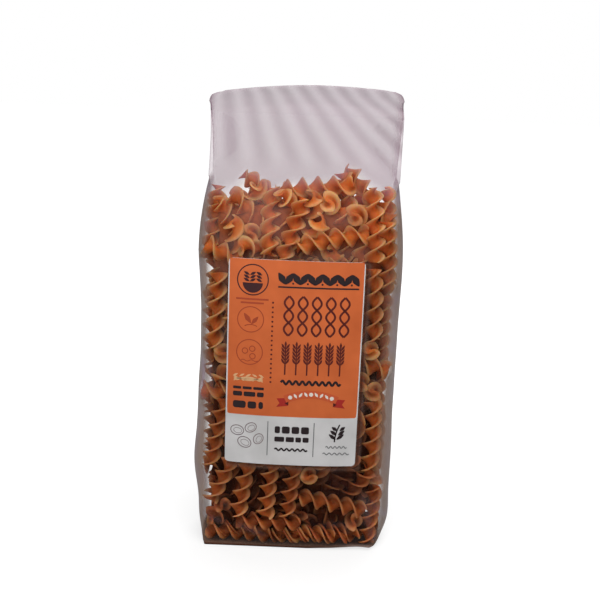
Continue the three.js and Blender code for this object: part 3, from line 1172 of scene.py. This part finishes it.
def headingPrint():
    left, right = prints["headingX"]
    z = prints["headingZ"]
    shapes = [bar(left, prints["underlineZ"] - 0.4, right, prints["underlineZ"] + 0.4, 0.2)]
    for i, x in enumerate(evenly(left + 1.9, right - 1.9, prints["headingLeaves"])):
        shapes.append(leafShape(x, z, 7.0, 3.7, 32 if i % 2 else -32))
    for x in evenly(left + 3.9, right - 3.9, prints["headingLeaves"] - 1):
        shapes.append(disc(x, z - 2.4, 0.55, steps=10))
    scribble = prints["scribble"]
    shapes.append(band(wave(*scribble["x"], scribble["z"], 1.0, 9), 1.25, steps=110))
    for z, high, blocks in prints["blocks"]:
        shapes += [bar(a, z - high / 2, b, z + high / 2, high * 0.3) for a, b in blocks]
    return shapes


def tallPrint():
    shapes = []
    row = prints["twistRow"]
    for x in evenly(*row["x"], row["count"]):
        for phase in (0, 0.5):
            shapes.append(band(strand(x, *row["z"], 4.6, 1.5, phase), 1.1, steps=48))
    row = prints["earRow"]
    bottom, top = row["z"]
    for x in evenly(*row["x"], row["count"]):
        shapes.append(bar(x - 0.4, bottom, x + 0.4, top - 1.5, 0.3))
        for z in evenly(bottom + 7.5, top - 2.4, 5):
            shapes += [leafShape(x + side * 1.25, z, 3.4, 1.25, side * 30) for side in (-1, 1)]
        shapes.append(leafShape(x, top - 1.2, 3.2, 1.3, 0))
    dots = prints["dots"]
    shapes += [disc(dots["x"], z, 0.55, steps=10) for z in evenly(*dots["z"], dots["count"])]
    return shapes


def emblemPrint():
    # a bowl of twists under a ring
    x, z, radius = (prints["emblem"][key] for key in ("x", "z", "radius"))
    shapes = [ring(x, z, radius, 0.6)]
    for i, lean in enumerate((-28, 28, -28)):
        for step in (-1.7, 0, 1.7):
            shapes.append(leafShape(x - 3.2 + 3.2 * i, z + 1.6 + step, 3.4, 1.5, 90 - lean))
    bowl = disc(x, z - 1.6, 5.2, steps=28)
    cutAlong(bowl, (x, 0, z - 1.6), (0, 0, 1), clearAbove=True)
    shapes.append(bowl)
    return shapes


def thinPrint():
    shapes = []
    for x, z in prints["badges"]:
        shapes.append(ring(x, z, prints["badgeRadius"], 0.5))
    x, z = prints["badges"][0]
    shapes.append(leafShape(x - 1.6, z + 0.6, 6.4, 2.6, -35))
    shapes.append(leafShape(x + 2.2, z - 0.4, 5.4, 2.2, 40))
    shapes.append(band(arch(x - 3.0, x + 3.4, z - 3.6, 0.9), 0.5))
    x, z = prints["badges"][1]
    for dx, dz in ((-2.4, 0.6), (1.4, 1.9), (1.6, -2.2)):
        shapes.append(ring(x + dx, z + dz, 1.7, 0.5, steps=20))
    shapes.append(band(wave(x - 4.4, x + 4.4, z - 4.6, 0.4, 2), 0.4))
    x, z, radius = (prints["emblem"][key] for key in ("x", "z", "radius"))
    for low, half in ((radius + 1.9, 8.4), (radius + 3.9, 6.0)):
        shapes.append(bar(x - half, z - low - 0.45, x + half, z - low + 0.45, 0.2))
    return shapes


def ribbonPrint():
    spec = prints["ribbon"]
    (left, right), z, width = spec["x"], spec["z"], spec["width"]
    # outlines of a tail with its notch and of the fold before it, outward from the ribbon's end and up
    tail = ((-1.6, -3.6), (4.4, -4.4), (2.8, -2.2), (4.4, 0.4), (-1.6, 0.9))
    fold = ((0, -2.2), (-1.9, -3.4), (-1.9, -1.2))
    tails, folds = (
        [flatShape([(x + side * a, z + b) for a, b in outline]) for side, x in ((-1, left), (1, right))]
        for outline in (tail, fold)
    )
    middleLine = arch(left, right, z, spec["rise"])
    body = [band(middleLine, width, steps=30)]
    marks = []
    for i, t in enumerate(evenly(0.1, 0.9, 9)):
        x, middle = middleLine(t)
        if i % 4:
            marks.append(leafShape(x, middle, 2.9, 1.4, 35 - 70 * (i % 2)))
        else:
            marks.append(disc(x, middle, 1.1, steps=14))
    return {"tails": tails, "ribbon": body, "folds": folds, "marks": marks}


def sheafPrint():
    (left, right), z = prints["sheaf"]["x"], prints["sheaf"]["z"]
    shapes = [band(arch(left, right, z - 1.8 + 0.9 * i, 2.2 - 1.5 * i), 0.55) for i in range(4)]
    for i, x in enumerate(evenly(left + 0.8, right - 0.8, 9)):
        shapes.append(leafShape(x, z + 1.4 - 2.4 * (i % 2), 3.0, 1.0, 62 if i < 5 else -62))
    return shapes


def stripPrint():
    shapes, lines = [], []
    for x in prints["dividers"]:
        lines.append(bar(x - 0.25, 57.2, x + 0.25, 76.8, 0.1))
    for x, z, radius, lean in prints["lentils"]:
        shapes.append(ring(x, z, radius, 0.42, steps=36, flat=0.8, lean=lean))
        shapes.append(ring(x + 0.3, z - 0.2, radius * 0.62, 0.22, steps=28, flat=0.7, lean=lean))
    for z, half in ((63.0, 5.6), (59.2, 7.0)):
        lines.append(band(wave(23.4 - half, 23.4 + half, z, 0.55, 5), 0.55, steps=60))
    return {"lentils": shapes, "dividers": lines}


def stripBarsPrint():
    shapes = []
    for bottom, top, corner, blocks in prints["stripBlocks"]:
        shapes += [bar(a, bottom, b, top, corner) for a, b in blocks]
    shapes.append(band(wave(-9.4, 8.0, 60.9, 0.6, 6), 0.9, steps=80))
    x, (low, high) = prints["sprig"]["x"], prints["sprig"]["z"]
    shapes.append(band(lambda t: (x - 1.2 + 2.4 * t * t, low + (high - low) * t), 0.75))
    for step, z in enumerate(evenly(low + 3.0, high - 2.4, 3)):
        for side in (-1, 1):
            shapes.append(leafShape(x - 0.4 + 0.5 * step + side * 2.1, z, 4.8 - 0.6 * step, 2.0, side * 52))
    return shapes


# the layer that each ink lies in, its colour, and its colour in patches
inks = {
    "orange": (1, (0.68, 0.147, 0.037), (0.56, 0.112, 0.026)),
    "black": (2, (0.014, 0.008, 0.01), (0.022, 0.01, 0.012)),
    "brown": (2, (0.085, 0.01, 0.006), (0.12, 0.014, 0.008)),
    "emblem": (2, (0.03, 0.008, 0.012), (0.05, 0.01, 0.012)),
    "thin": (2, (0.36, 0.055, 0.016), (0.4, 0.06, 0.02)),
    "cream": (2, (0.78, 0.47, 0.24), (0.7, 0.4, 0.19)),
    "tails": (2, (0.42, 0.022, 0.014), (0.36, 0.018, 0.012)),
    "ribbon": (3, (0.6, 0.1, 0.03), (0.54, 0.085, 0.025)),
    "folds": (4, (0.06, 0.006, 0.004), (0.09, 0.008, 0.006)),
    "marks": (4, (0.82, 0.74, 0.66), (0.76, 0.68, 0.6)),
    "lentils": (2, (0.17, 0.13, 0.14), (0.24, 0.18, 0.18)),
    "dividers": (2, (0.16, 0.16, 0.165), (0.2, 0.2, 0.2)),
}


def addLabel():
    left, right, bottom, top = (paper[key] for key in ("left", "right", "bottom", "top"))
    white = paperMaterial("labelPaper", *paper["white"])
    sheet = onPaper("label_sheet", [bar(left, bottom, right, top, paper["corner"])], 0, white)
    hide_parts("label")
    left, right = left + paper["margin"], right - paper["margin"]
    field = bar(left, paper["stripTop"], right, paper["fieldTop"], paper["fieldCorner"])
    shapes = {
        "orange": [field],
        "black": headingPrint() + stripBarsPrint(),
        "brown": tallPrint(),
        "emblem": emblemPrint(),
        "thin": thinPrint(),
        "cream": sheafPrint(),
        **ribbonPrint(),
        **stripPrint(),
    }
    for name, (layer, colour, shade) in inks.items():
        ink = paperMaterial("label_%s_ink" % name, colour, shade)
        onPaper("label_" + name, shapes[name], paper["inkLift"] * layer, ink)


addLabel()


# the floor and the lights
stage = {
    "floorSize": 6.0,
    "floorShade": 0.3,  # what the floor throws back on the bag
    # the floor's own glow, under the bag and away from it, and between how many metres it rises
    "glow": (0.68, 0.95),
    "glowFrom": (0.04, 0.22),
    "surround": 0.26,
    "lights": {
        "key": {"place": (0.05, -0.26, 0.72), "aim": (0, 0, 0.12), "size": 0.45, "power": 4.0},
        "fill": {"place": (-0.3, -0.9, 0.35), "aim": (0, 0, 0.1), "size": 0.9, "power": 3.15},
        "behind": {"place": (0.2, 0.7, 0.6), "aim": (0, 0, 0.12), "size": 0.6, "power": 3.5},
    },
}


def addLight(name, spec):
    light = bpy.data.lights.new(name, "AREA")
    light.size = spec["size"]
    light.energy = spec["power"]
    lamp = bpy.data.objects.new(name, light)
    lamp.location = spec["place"]
    toward = Vector(spec["aim"]) - Vector(spec["place"])
    lamp.rotation_euler = toward.to_track_quat("-Z", "Y").to_euler()
    scene.collection.objects.link(lamp)


def addStage():
    bm = bmesh.new()
    bmesh.ops.create_grid(bm, x_segments=1, y_segments=1, size=stage["floorSize"] / 2)
    mesh = bpy.data.meshes.new("floor")
    bm.to_mesh(mesh)
    bm.free()
    floor = bpy.data.objects.new("floor", mesh)
    scene.collection.objects.link(floor)
    material, tree, shader = newMaterial("paleFloor")
    shader.inputs["Base Color"].default_value = (*[stage["floorShade"]] * 3, 1)
    shader.inputs["Roughness"].default_value = 0.9
    shader.inputs["Emission Color"].default_value = (1, 1, 1, 1)
    coords = addNode(tree, "ShaderNodeTexCoord")
    away = addNode(tree, "ShaderNodeVectorMath", operation="LENGTH")
    tree.links.new(coords.outputs["Object"], away.inputs[0])
    glow = ranged(tree, away.outputs["Value"], *stage["glowFrom"], *stage["glow"])
    path = tree.nodes.new("ShaderNodeLightPath")
    glow = mathOn(tree, "MULTIPLY", glow, path.outputs["Is Camera Ray"])
    tree.links.new(glow, shader.inputs["Emission Strength"])
    mesh.materials.append(material)

    world = bpy.data.worlds.new("surround")
    scene.world = world
    world.use_nodes = True
    tree = world.node_tree
    background = tree.nodes["Background"]
    path = tree.nodes.new("ShaderNodeLightPath")
    strength = ranged(tree, path.outputs["Is Camera Ray"], 0, 1, stage["surround"], 1)
    tree.links.new(strength, background.inputs["Strength"])
    background.inputs["Color"].default_value = (1, 1, 1, 1)
    for name, spec in stage["lights"].items():
        addLight(name, spec)


addStage()
scene.view_settings.view_transform = "Standard"
print("stage ready")
